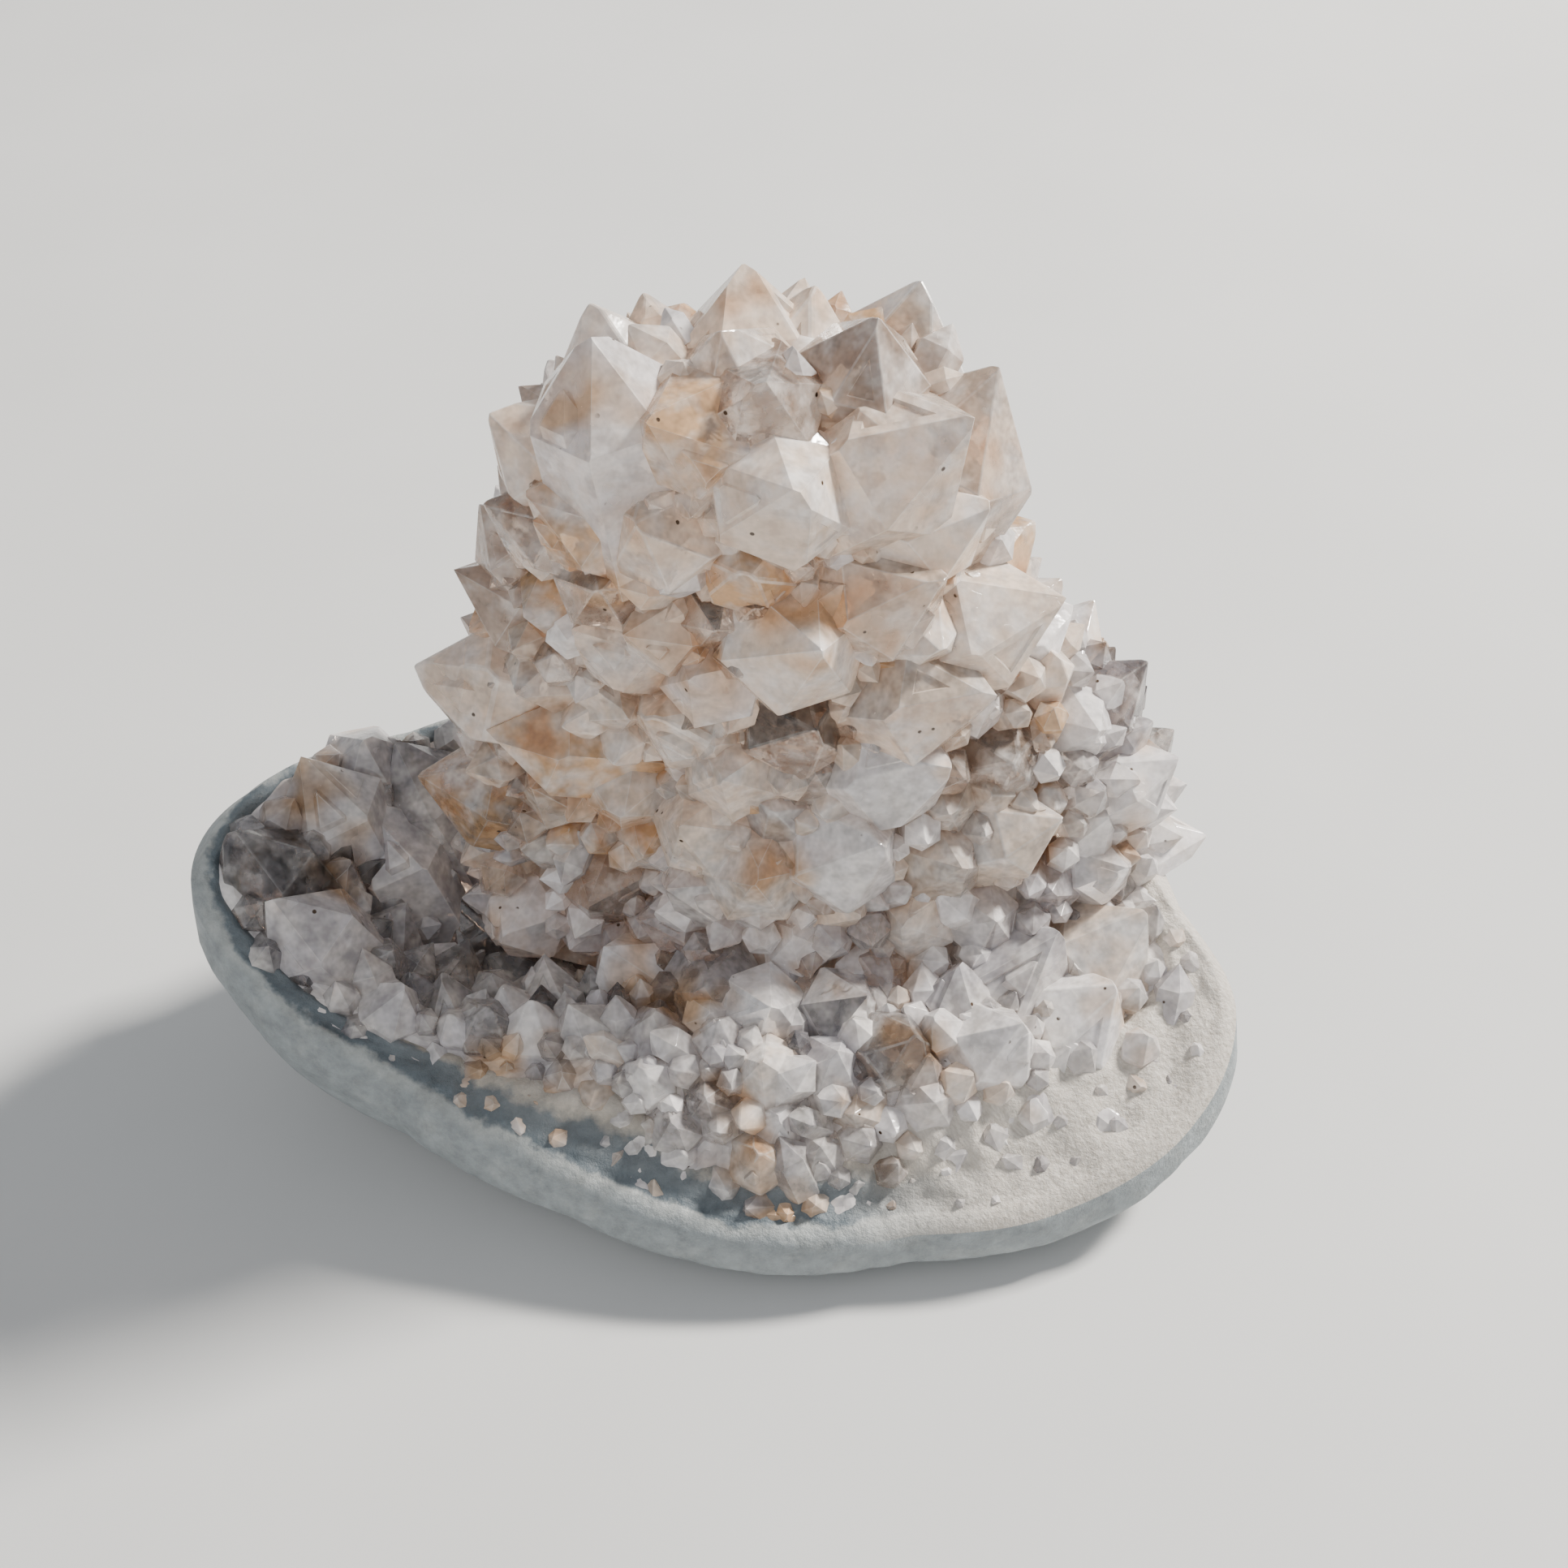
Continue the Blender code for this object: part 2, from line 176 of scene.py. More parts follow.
# The largest on the bed: azimuth and share of the way to the lip, then as for the tower.
BED_CRYSTALS = (
    (156, 0.84, 13, 66, -0.05),
    (168, 0.88, 12, 74, 0.00),
    (180, 0.90, 12, 66, -0.05),
    (187, 0.84, 12, 62, -0.05),
    (167, 0.76, 12, 70, 0.00),
    (168, 0.60, 10, 70, 0.00),
    (180, 0.42, 14, 65, 0.00),
    (205, 0.25, 13, 60, 0.05),
    (262, 0.30, 12, 50, 0.05),
    (288, 0.40, 10, 50, 0.05),
    (316, 0.42, 9, 55, 0.05),
    (331, 0.66, 10, 60, 0.10),
    (349, 0.60, 15, 60, -0.10),
    (355, 0.82, 13, 60, -0.10),
    (344, 0.74, 12, 60, -0.05),
    (317, 0.60, 9, 60, 0.00),
)

FACE_TILT = math.radians(51.8)
FACE_OFFSETS = (-0.08, 0.05)
ROOT_SHARE = 1.1
SEED = 7
CANDIDATES = 9000
BED_CANDIDATE_SHARE = 0.4
SPACING_SHARE = 0.77
LANDMARK_SPACING = 0.66

# Finer growth, which only the looks have.
FINE_SEED = 21
FINE_CANDIDATES = 9000
FINE_WIDTHS = (2.6, 5.4)
EDGE_SHARE = 0.035
SUNKEN_CHANCE = 0.30
SIDE_GROWTH_CHANCE = 0.65


def smooth(share):
    share = min(1.0, max(0.0, share))
    return share * share * (3 - 2 * share)


def around(stations, azimuth):
    """The stations' values at an azimuth in degrees, on a smooth closed curve through them."""
    count = len(stations)
    azimuth %= 360
    low = max(i for i in range(count) if stations[i][0] <= azimuth)
    picked = [stations[(low + step) % count] for step in (-1, 0, 1, 2)]
    span = (picked[2][0] - picked[1][0]) % 360
    t = ((azimuth - picked[1][0]) % 360) / span
    values = []
    for a, b, c, d in zip(*(station[1:] for station in picked)):
        values.append(b + 0.5 * t * (c - a + t * (2 * a - 5 * b + 4 * c - d + t * (3 * (b - c) + d - a))))
    return values


def polar(azimuth, radius, height=0.0, centre=(0.0, 0.0)):
    angle = math.radians(azimuth)
    return Vector((centre[0] + radius * math.cos(angle), centre[1] + radius * math.sin(angle), height))


def lip(azimuth):
    """The rind's upper edge: the outer and the inner corner of its narrow top."""
    radius, height, _ = around(RIND_LINE, azimuth)
    outer = polar(azimuth, radius - 0.8, height + RIND_LIP_RISE)
    return outer, polar(azimuth, radius - RIND_LIP_WIDTH, height + RIND_LIP_RISE + 0.4)


def bed_point(azimuth, share):
    """A point on the bed's upper side, from its middle (share 0) to just inside the rind's lip (share 1)."""
    corner = lip(azimuth)[1]
    point = Vector((corner.x * share, corner.y * share, 0))
    rise = smooth((1 - share) / BED_SLOPE_SHARE)
    point.z = (corner.z + 0.5) * (1 - rise) + BED_PLATEAU * rise
    across = (point.x - HOLLOW_CENTRE[0]) / HOLLOW_RADII[0]
    along = (point.y - HOLLOW_CENTRE[1]) / HOLLOW_RADII[1]
    point.z -= HOLLOW_DEPTH * math.exp(-across * across - along * along)
    return point


def dish_point(azimuth, share, rise=0.0):
    """A point on the rind's hidden inner side, from its middle (share 0) to the lip's corner (share 1)."""
    corner = lip(azimuth)[1]
    middle = Vector((*RIND_FOOT_CENTRE, RIND_THICKNESS))
    flat = middle.lerp(corner, share)
    flat.z = RIND_THICKNESS + (corner.z - RIND_THICKNESS) * share ** 2.4 + rise
    return flat


def tower_reach(height):
    """How far the tower's core reaches left, right, forward and back at a height."""
    rows = TOWER_SECTIONS
    height = min(max(height, rows[0][0]), rows[-1][0])
    for below, above in zip(rows, rows[1:]):
        if height <= above[0]:
            t = (height - below[0]) / (above[0] - below[0])
            return [a + (b - a) * t for a, b in zip(below[1:], above[1:])]
    return list(rows[-1][1:])


def tower_point(azimuth, height):
    left, right, front, back = tower_reach(height)
    angle = math.radians(azimuth)
    reach_x = right if math.cos(angle) > 0 else left
    reach_y = back if math.sin(angle) > 0 else front
    radius = 1 / math.hypot(math.cos(angle) / reach_x, math.sin(angle) / reach_y)
    off_valley = ((azimuth - VALLEY_AZIMUTH + 180) % 360 - 180) / VALLEY_HALF_WIDTH
    fade = smooth((VALLEY_TOP - height) / 30)
    radius *= 1 - VALLEY_SHARE * fade * math.exp(-off_valley * off_valley)
    return polar(azimuth, radius, height, TOWER_CENTRE)


def surface_frame(point_at, u, v, du, dv):
    """A point of a surface and its outward normal, from three nearby points."""
    here = point_at(u, v)
    along = point_at(u + du, v) - here
    across = point_at(u, v + dv) - here
    return here, along.cross(across).normalized()


def size_at(point, share):
    """How wide the larger crystals grow at a place."""
    if share is not None:
        return 9.5 - 2.5 * smooth((-point.y - 8) / 14)
    behind = smooth((point.y - TOWER_CENTRE[1]) / 10)
    return 9.5 + 3.0 * smooth((point.z - 70) / 20) + 1.5 * behind


def inside_tower(point):
    offset = point - Vector((*TOWER_CENTRE, 0))
    azimuth = math.degrees(math.atan2(offset.y, offset.x))
    reach = tower_point(azimuth, point.z) - Vector((*TOWER_CENTRE, point.z))
    return offset.to_2d().length < reach.length - 1.5


def pokes_through_rind(point, axis, width):
    """Whether a crystal's point would come out through the side of the rind."""
    tip = point + axis * width * 0.7
    corner = lip(math.degrees(math.atan2(tip.y, tip.x)))[0]
    return tip.to_2d().length > corner.to_2d().length - 1 and tip.z < corner.z + 2


def landmark(surface, azimuth, station, width, rise, prism):
    """One large crystal from a listed row: root, axis, width, turn about its axis, and prism share."""
    outward = polar(azimuth, math.cos(math.radians(rise)), math.sin(math.radians(rise)))
    return surface(azimuth, station), outward, width, azimuth * 7 % 60, prism


def scatter():
    """The solids' crystals: root, axis, width, turn and prism share of each."""
    rng = random.Random(SEED)
    places = [landmark(tower_point, *row) for row in TOWER_CRYSTALS]
    places += [landmark(bed_point, *row) for row in BED_CRYSTALS]
    by_hand = len(places)
    for _ in range(CANDIDATES):
        azimuth = rng.uniform(0, 360)
        if rng.random() < BED_CANDIDATE_SHARE:
            share = math.sqrt(rng.uniform(0.02, 0.95))
            if share > around(RIND_LINE, azimuth)[2]:
                continue
            point, normal = surface_frame(bed_point, azimuth, share, 1, -0.01)
            if inside_tower(point):
                continue
        else:
            share = None
            height = rng.uniform(BED_PLATEAU - 2, TOWER_SECTIONS[-1][0] - 0.3)
            point, normal = surface_frame(tower_point, azimuth, height, 1, 0.2)
        width = size_at(point, share) * rng.uniform(0.8, 1.2)
        tilt = Vector((rng.gauss(0, 0.18), rng.gauss(0, 0.18), rng.gauss(0, 0.18)))
        axis = (normal + Vector((0, 0, 0.35)) + tilt).normalized()
        turn = rng.uniform(0, 60)
        prism = rng.uniform(-0.2, 0.1)
        if pokes_through_rind(point, axis, width):
            continue
        clear = True
        for number, other in enumerate(places):
            spacing = LANDMARK_SPACING if number < by_hand else SPACING_SHARE
            if (point - other[0]).length < spacing * (width + other[2]) / 2:
                clear = False
                break
        if clear:
            places.append((point, axis, width, turn, prism))
    return places


def scatter_fine(large):
    """Small crystals in the gaps between the large ones and over the massive quartz near the lip."""
    rng = random.Random(FINE_SEED)
    places = []
    for _ in range(FINE_CANDIDATES):
        azimuth = rng.uniform(0, 360)
        if rng.random() < 0.5:
            share = math.sqrt(rng.uniform(0.02, 0.93))
            point, normal = surface_frame(bed_point, azimuth, share, 1, -0.01)
            if inside_tower(point):
                continue
            past = share - around(RIND_LINE, azimuth)[2]
            sink = 0.25 + 1.2 * smooth(past / 0.12)
        else:
            height = rng.uniform(BED_PLATEAU - 2, TOWER_SECTIONS[-1][0] - 0.3)
            point, normal = surface_frame(tower_point, azimuth, height, 1, 0.2)
            sink = 0.0
        width = rng.uniform(*FINE_WIDTHS)
        spread = Vector((rng.gauss(0, 0.35), rng.gauss(0, 0.35), rng.gauss(0, 0.35)))
        axis = (normal + Vector((0, 0, 0.25)) + spread).normalized()
        turn = rng.uniform(0, 60)
        lift = rng.uniform(0.3, 1.6) - sink * width * 0.4
        if any((point - other[0]).length < 0.36 * other[2] for other in large):
            continue
        if any((point - other[0]).length < 0.42 * (width + other[2]) for other in places):
            continue
        root = point + normal * lift
        if pokes_through_rind(root, axis, width):
            continue
        places.append((root, axis, width, turn, 0.0))
    return places


def solid_from_planes(planes):
    """The convex solid inside a set of planes, each given as its outward normal and its distance."""
    bm = bmesh.new()
    for (a, reach_a), (b, reach_b), (c, reach_c) in itertools.combinations(planes, 3):
        volume = a.dot(b.cross(c))
        if abs(volume) < 1e-4:
            continue
        corner = (b.cross(c) * reach_a + c.cross(a) * reach_b + a.cross(b) * reach_c) / volume
        if all(corner.dot(normal) < reach + 1e-4 for normal, reach in planes):
            bm.verts.new(corner)
    bmesh.ops.remove_doubles(bm, verts=bm.verts, dist=0.01)
    bmesh.ops.convex_hull(bm, input=bm.verts)
    bmesh.ops.dissolve_limit(bm, angle_limit=math.radians(1), verts=bm.verts, edges=bm.edges)
    return bm


def crystal(width, prism, depth, rng):
    """One quartz crystal on its own axis: six prism faces, and six pyramid faces that differ a little."""
    peak = prism + width / 2 * math.tan(FACE_TILT)
    planes = [(Vector((0, 0, -1)), depth)]
    for side in range(6):
        turn = math.radians(60 * side)
        outward = Vector((math.cos(turn), math.sin(turn), 0))
        slant = outward * math.sin(FACE_TILT) + Vector((0, 0, math.cos(FACE_TILT)))
        planes.append((outward, width / 2))
        planes.append((slant, (peak + width * rng.uniform(*FACE_OFFSETS)) * math.cos(FACE_TILT)))
    return solid_from_planes(planes)


def soften(bm, width, segments, rng, sunken_chance):
    """Round the edges, and sink some of the large faces a little inside a frame, as skeletal growth does. The
    'edge' layer marks the rounded edges and the sunken steps' walls for a painted highlight in the quartz
    colour.
    """
    edge = bm.faces.layers.float.new("edge")
    bmesh.ops.bevel(bm, geom=bm.edges[:], offset=width * EDGE_SHARE, segments=segments, affect="EDGES",
                    profile=0.5, clamp_overlap=True)
    bm.normal_update()
    large = [face for face in bm.faces if face.calc_area() > 0.05 * width * width and face.normal.z > 0.1]
    flat = {face.index for face in bm.faces if face.calc_area() > 0.02 * width * width}
    # Painted highlight mask: the small bevel faces are marked 1, the large flat faces 0.
    for face in bm.faces:
        face[edge] = 0.0 if face.index in flat else 1.0
    for face in large:
        rim = rng.uniform(0.05, 0.09) * width
        sink = rng.uniform(0.012, 0.03) * width
        if rng.random() < sunken_chance and min(side.calc_length() for side in face.edges) > 2.6 * rim:
            bmesh.ops.inset_individual(bm, faces=[face], thickness=rim, depth=0, use_even_offset=True)
            step = bmesh.ops.inset_individual(bm, faces=[face], thickness=sink * 0.6, depth=-sink,
                                              use_even_offset=True)
            # The sunken steps' walls get a weaker painted highlight mark, 0.7.
            for wall in step["faces"]:
                wall[edge] = 0.7
    bm.normal_update()


# Colours of crystals, as linear RGB, and how cloudy each kind is. The two smoky colours are smoky tone, and
# also painted shade where they are weighted to the left.
PEACH = (0.93, 0.76, 0.62)
AMBER = (0.78, 0.50, 0.28)
SMOKE_BROWN_AND_PAINTED_SHADE = (0.52, 0.40, 0.32)
PALE = (0.90, 0.86, 0.86)
GREY = (0.66, 0.63, 0.65)
SMOKE_GREY_AND_PAINTED_SHADE = (0.36, 0.34, 0.36)
CLOUDY = {PEACH: 0.62, AMBER: 0.55, SMOKE_BROWN_AND_PAINTED_SHADE: 0.40, PALE: 0.65, GREY: 0.52, SMOKE_GREY_AND_PAINTED_SHADE: 0.35}


def kinds_and_painted_light_at(point):
    """Which kinds of crystal are set at a place, and how often each: random tone, with darker smoky kinds
    weighted to the left as painted shade on the tower's left flank and the left wing, and paler kinds
    weighted to the right as painted light on the lit side.
    """
    # Painted shade: the left wing, in the tower's shade, gets mostly smoky grey and grey.
    if point.x < -30 and point.z < 60:
        return ((SMOKE_GREY_AND_PAINTED_SHADE, 5), (GREY, 4), (PALE, 1))
    if point.z > 38 and point.x < 40:
        # Painted shade: the further left on the tower, the more amber and smoky brown, for the tower's shaded
        # left flank.
        left = smooth((-point.x - 6) / 14)
        return ((PEACH, 6 - 3 * left), (AMBER, 1.2 + left), (SMOKE_BROWN_AND_PAINTED_SHADE, 1 + 3 * left), (PALE, 1.6))
    # Painted light: the right side, where the key light falls, gets mostly pale kinds.
    if point.x > 20:
        return ((PALE, 5), (GREY, 3), (PEACH, 1.2), (SMOKE_GREY_AND_PAINTED_SHADE, 0.6))
    return ((GREY, 4), (PALE, 3), (PEACH, 1.5), (SMOKE_GREY_AND_PAINTED_SHADE, 1.2), (SMOKE_BROWN_AND_PAINTED_SHADE, 0.8))


def pick_tint(point, rng):
    kinds = kinds_and_painted_light_at(point)
    colour = rng.choices([kind[0] for kind in kinds], [kind[1] for kind in kinds])[0]
    light = rng.uniform(0.88, 1.08)
    cloud = min(1.0, max(0.0, CLOUDY[colour] + rng.uniform(-0.18, 0.18)))
    return (*(min(1.0, c * light) for c in colour), cloud)


def add_tint(mesh, tint):
    layer = mesh.attributes.new("tint", "FLOAT_COLOR", "CORNER")
    for corner in layer.data:
        corner.color = tint


def new_object(name, bm, finish, collection=None):
    bmesh.ops.recalc_face_normals(bm, faces=bm.faces)
    bmesh.ops.transform(bm, matrix=Matrix.Diagonal((MM, MM, MM, 1)) @ Matrix.Translation((*SHIFT, 0)),
                        verts=bm.verts)
    mesh = bpy.data.meshes.new(name)
    bm.to_mesh(mesh)
    bm.free()
    mesh.materials.append(finish)
    obj = bpy.data.objects.new(name, mesh)
    (collection or bpy.context.scene.collection).objects.link(obj)
    return obj


def place_matrix(point, axis, turn):
    place = Matrix.Translation(point) @ axis.to_track_quat("Z", "Y").to_matrix().to_4x4()
    return place @ Matrix.Rotation(math.radians(turn), 4, "Z")


def make_large_crystals(finish, collection):
    """The solids' crystals with their finer form. Returns where they stand."""
    shape_rng = random.Random(SEED + 1)
    fine_rng = random.Random(FINE_SEED + 1)
    places = scatter()
    for number, (point, axis, width, turn, prism) in enumerate(places):
        place = place_matrix(point, axis, turn)
        bm = crystal(width, prism * width, ROOT_SHARE * width, shape_rng)
        soften(bm, width, 2, fine_rng, SUNKEN_CHANCE)
        bmesh.ops.transform(bm, matrix=place, verts=bm.verts)
        tint = pick_tint(point, fine_rng)
        add_tint(new_object(f"large_{number}", bm, finish, collection).data, tint)
        if fine_rng.random() < SIDE_GROWTH_CHANCE:
            add_side_growth(finish, collection, number, place, width, prism, tint, fine_rng)
    return places


def add_side_growth(finish, collection, number, place, width, prism, tint, rng):
    """Smaller crystals in parallel growth on a large one's pyramid faces."""
    for side in range(rng.choice((1, 2, 2, 3))):
        small = width * rng.uniform(0.28, 0.5)
        out = (width - small) / 2 * rng.uniform(0.5, 1.0)
        turn = math.radians(60 * rng.randrange(6) + rng.uniform(-12, 12))
        host_top = prism * width + (width / 2 - out) * math.tan(FACE_TILT)
        own_top = small / 2 * math.tan(FACE_TILT)
        raise_by = host_top - own_top + width * rng.uniform(0.02, 0.07)
        bm = crystal(small, 0.0, small * 0.9, rng)
        soften(bm, small, 1, rng, 0.0)
        local = Matrix.Translation((out * math.cos(turn), out * math.sin(turn), raise_by))
        bmesh.ops.transform(bm, matrix=place @ local, verts=bm.verts)
        add_tint(new_object(f"side_{number}_{side}", bm, finish, collection).data, tint)


def make_fine_crystals(finish, collection, large):
    rng = random.Random(FINE_SEED + 2)
    places = scatter_fine(large)
    for number, (point, axis, width, turn, _) in enumerate(places):
        bm = crystal(width, 0.1 * width, width, rng)
        soften(bm, width, 1, rng, 0.0)
        bmesh.ops.transform(bm, matrix=place_matrix(point, axis, turn), verts=bm.verts)
        tint = pick_tint(point, rng)
        add_tint(new_object(f"fine_{number}", bm, finish, collection).data, tint)
    print("fine crystals", len(places))


def close_rings(bm, rings, first, last):
    """Triangles between rings of points round an axis, with a fan to a single point at each end."""
    loops = [[bm.verts.new(point) for point in ring] for ring in rings]
    count = len(loops[0])
    for lower, upper in zip(loops, loops[1:]):
        for i in range(count):
            j = (i + 1) % count
            bm.faces.new((lower[i], lower[j], upper[j]))
            bm.faces.new((lower[i], upper[j], upper[i]))
    for loop, point in ((loops[0], first), (loops[-1], last)):
        tip = bm.verts.new(point)
        for i in range(count):
            bm.faces.new((loop[i], loop[(i + 1) % count], tip))
    return loops


def lumps(point, size, height):
    """A lumpy rise at a point: broad lumps with finer grain on them."""
    broad = noise.noise(point / size)
    fine = noise.noise(point / (size * 0.35) + Vector((7, 3, 1)))
    return height * (broad + 0.45 * fine)


MOUND_SIDES = 240
MOUND_RINGS = 44
MASSIVE_TINT = (0.62, 0.58, 0.58, 0.9)


def make_mound(finish):
    """The massive quartz under the crystals, lumpy where it is bare near the lip."""
    bm = bmesh.new()
    azimuths = [360 * i / MOUND_SIDES for i in range(MOUND_SIDES)]
    rings = [[bed_point(azimuth, share) * 1.0 - Vector((0, 0, 6)) for azimuth in azimuths]
             for share in (0.3, 0.7, 0.97)]
    for ring in range(MOUND_RINGS):
        share = 0.995 * (1 - ring / MOUND_RINGS)
        points = []
        for azimuth in azimuths:
            crystals_end = around(RIND_LINE, azimuth)[2]
            inset = CORE_INSET * smooth((crystals_end - share) / 0.15)
            point, normal = surface_frame(bed_point, azimuth, share, 1, -0.01)
            rough = smooth((1 - share) / 0.05)
            points.append(point - Vector((0, 0, inset)) + normal * rough * lumps(point, 4.0, 1.3))
        rings.append(points)
    close_rings(bm, rings, bed_point(0, 0) - Vector((0, 0, 6)), bed_point(0, 0) - Vector((0, 0, CORE_INSET)))
    bm.faces.layers.float.new("edge")
    mound = new_object("quartz_growth", bm, finish)
    add_tint(mound.data, MASSIVE_TINT)
    return mound


def make_tower_core(finish, collection):
    bm = bmesh.new()
    rings = []
    for height, *_ in TOWER_SECTIONS:
        ring = []
        for i in range(24):
            point = tower_point(360 * i / 24, height)
            axis = Vector((*TOWER_CENTRE, height))
            ring.append(point + (axis - point).normalized() * CORE_INSET)
        rings.append(ring)
    foot, top = TOWER_SECTIONS[0][0], TOWER_SECTIONS[-1][0]
    close_rings(bm, rings, Vector((*TOWER_CENTRE, foot)), Vector((*TOWER_CENTRE, top + 0.5)))
    bm.faces.layers.float.new("edge")
    core = new_object("tower_core", bm, finish, collection)
    add_tint(core.data, (*SMOKE_BROWN_AND_PAINTED_SHADE, 0.8))


def make_cutter(finish):
    """What the quartz must stay clear of: the rind and all that lies under it, grown by a small gap."""
    bm = bmesh.new()
    azimuths = [360 * i / CUTTER_SIDES for i in range(CUTTER_SIDES)]
    low = []
    high = []
    for azimuth in azimuths:
        radius, height, _ = around(RIND_LINE, azimuth)
        low.append(polar(azimuth, radius + CUTTER_REACH, -5))
        high.append(polar(azimuth, radius + CUTTER_REACH, height + RIND_LIP_RISE + FIT_GAP))
    rings = [low, high]
    for share in (1, 0.75, 0.5, 0.25):
        rings.append([dish_point(azimuth, share, FIT_GAP) for azimuth in azimuths])
    close_rings(bm, rings, Vector((*RIND_FOOT_CENTRE, -5)), dish_point(0, 0, FIT_GAP))
    return new_object("cutter", bm, finish)


def keep_largest_body(obj):
    """Drop the chips that the trimming cut loose at the lip."""
    bm = bmesh.new()
    bm.from_mesh(obj.data)
    left = set(bm.verts)
    bodies = []
    while left:
        queue = [left.pop()]
        body = []
        while queue:
            vert = queue.pop()
            body.append(vert)
            for edge in vert.link_edges:
                other = edge.other_vert(vert)
                if other in left:
                    left.remove(other)
                    queue.append(other)
        bodies.append(body)
    bodies.sort(key=len)
    for chip in bodies[:-1]:
        bmesh.ops.delete(bm, geom=chip, context="VERTS")
    bm.to_mesh(obj.data)
    bm.free()


def join_growth(mound, collection):
    """Make one closed skin of the mound and all the crystals."""
    union = mound.modifiers.new("join", "BOOLEAN")
    union.operation = "UNION"
    union.operand_type = "COLLECTION"
    union.collection = collection
    union.solver = "MANIFOLD"
    cutter = make_cutter(mound.data.materials[0])
    trim = mound.modifiers.new("trim", "BOOLEAN")
    trim.operation = "DIFFERENCE"
    trim.object = cutter
    trim.solver = "MANIFOLD"
    graph = bpy.context.evaluated_depsgraph_get()
    mesh = bpy.data.meshes.new_from_object(mound.evaluated_get(graph))
    mound.modifiers.clear()
    mound.data = mesh
    bpy.data.objects.remove(cutter)
    for obj in list(collection.objects):
        bpy.data.objects.remove(obj)
    keep_largest_body(mound)
    bpy.data.collections.remove(collection)
    print("growth triangles", sum(len(face.vertices) - 2 for face in mesh.polygons))


RIND_SIDES = 360
OUTER_RINGS = 28
BAND_RINGS = 22
DISH_SHARES = (0.94, 0.85, 0.75, 0.65, 0.5, 0.35, 0.2)


def make_rind(finish):
    """The agate skin, from the ground foot up over the lip and across its bare banded edge."""
    bm = bmesh.new()
    azimuths = [360 * i / RIND_SIDES for i in range(RIND_SIDES)]
    rings = []
    depths = []
    for ring in range(OUTER_RINGS + 1):
        turn = math.radians(90 * ring / OUTER_RINGS)
        points = []
        for azimuth in azimuths:
            radius, height, _ = around(RIND_LINE, azimuth)
            foot = polar(azimuth, 0)
            angle = math.radians(azimuth)
            foot = Vector((RIND_FOOT_CENTRE[0] + RIND_FOOT_RADII[0] * math.cos(angle),
                           RIND_FOOT_CENTRE[1] + RIND_FOOT_RADII[1] * math.sin(angle), 0))
            point = foot.lerp(polar(azimuth, radius), math.sin(turn))
            point.z = height * (1 - math.cos(turn))
            free = smooth(point.z / 3)
            bump = min(0.0, lumps(point, 7.0, 0.5) - 0.1) * free
            points.append(point + polar(azimuth, 1) * bump)
        rings.append(points)
        depths.append([-(OUTER_RINGS - ring) * 0.8] * RIND_SIDES)
    rings.append([lip(azimuth)[0] for azimuth in azimuths])
    depths.append([0.0] * RIND_SIDES)
    for ring in range(BAND_RINGS + 1):
        points = []
        row = []
        for azimuth in azimuths:
            wide = around(BAND_WIDTH, azimuth)[0]
            corner = lip(azimuth)[1].length
            across = ring / BAND_RINGS
            share = 1 - across * (wide + 3) / corner
            point, normal = surface_frame(bed_point, azimuth, share, 1, -0.01)
            dip = 0.7 - 3.2 * smooth((across * (wide + 3) - wide + 2) / 4)
            points.append(point + normal * (dip + lumps(point, 3.0, 0.7) * smooth(across * 6)))
            row.append(across * (wide + 3) + RIND_LIP_WIDTH)
        rings.append(points)
        depths.append(row)
    for share in DISH_SHARES:
        rings.append([dish_point(azimuth, share) for azimuth in azimuths])
        depths.append([30.0] * RIND_SIDES)
    depth = bm.verts.layers.float.new("band")
    loops = close_rings(bm, rings, Vector((*RIND_FOOT_CENTRE, 0)), dish_point(0, 0))
    for loop, row in zip(loops, depths):
        for vert, value in zip(loop, row):
            vert[depth] = value
    rind = new_object("agate_rind", bm, finish)
    rind.data.shade_smooth()
    return rind


# Shader helpers.


def new_material(name):
    made = bpy.data.materials.new(name)
    made.use_nodes = True
    return made, made.node_tree, made.node_tree.nodes["Principled BSDF"]


def add(tree, kind, **settings):
    node = tree.nodes.new(kind)
    for key, value in settings.items():
        setattr(node, key, value)
    return node


def noise_at(tree, vector, scale, detail=3.0, roughness=0.55):
    node = add(tree, "ShaderNodeTexNoise")
    node.inputs["Scale"].default_value = scale
    node.inputs["Detail"].default_value = detail
    node.inputs["Roughness"].default_value = roughness
    tree.links.new(vector, node.inputs["Vector"])
    return node.outputs["Fac"]


def ramp(tree, value, *stops):
    node = add(tree, "ShaderNodeValToRGB")
    elements = node.color_ramp.elements
    while len(elements) < len(stops):
        elements.new(0.5)
    for element, (place, colour) in zip(elements, stops):
        element.position = place
        element.color = (*colour, 1) if isinstance(colour, tuple) else (colour, colour, colour, 1)
    tree.links.new(value, node.inputs["Fac"])
    return node.outputs["Color"]


def mix(tree, factor, a, b, blend="MIX"):
    node = add(tree, "ShaderNodeMix", data_type="RGBA", blend_type=blend)
    factor_in = node.inputs[0]
    a_in = node.inputs[6]
    b_in = node.inputs[7]
    for socket, value in ((factor_in, factor), (a_in, a), (b_in, b)):
        if isinstance(value, bpy.types.NodeSocket):
            tree.links.new(value, socket)
        elif isinstance(value, tuple):
            socket.default_value = (*value, 1)
        else:
            socket.default_value = value
    return node.outputs[2]


def maths(tree, operation, a, b=0.0):
    node = add(tree, "ShaderNodeMath", operation=operation)
    for socket, value in zip(node.inputs, (a, b)):
        if isinstance(value, bpy.types.NodeSocket):
            tree.links.new(value, socket)
        else:
            socket.default_value = value
    return node.outputs[0]


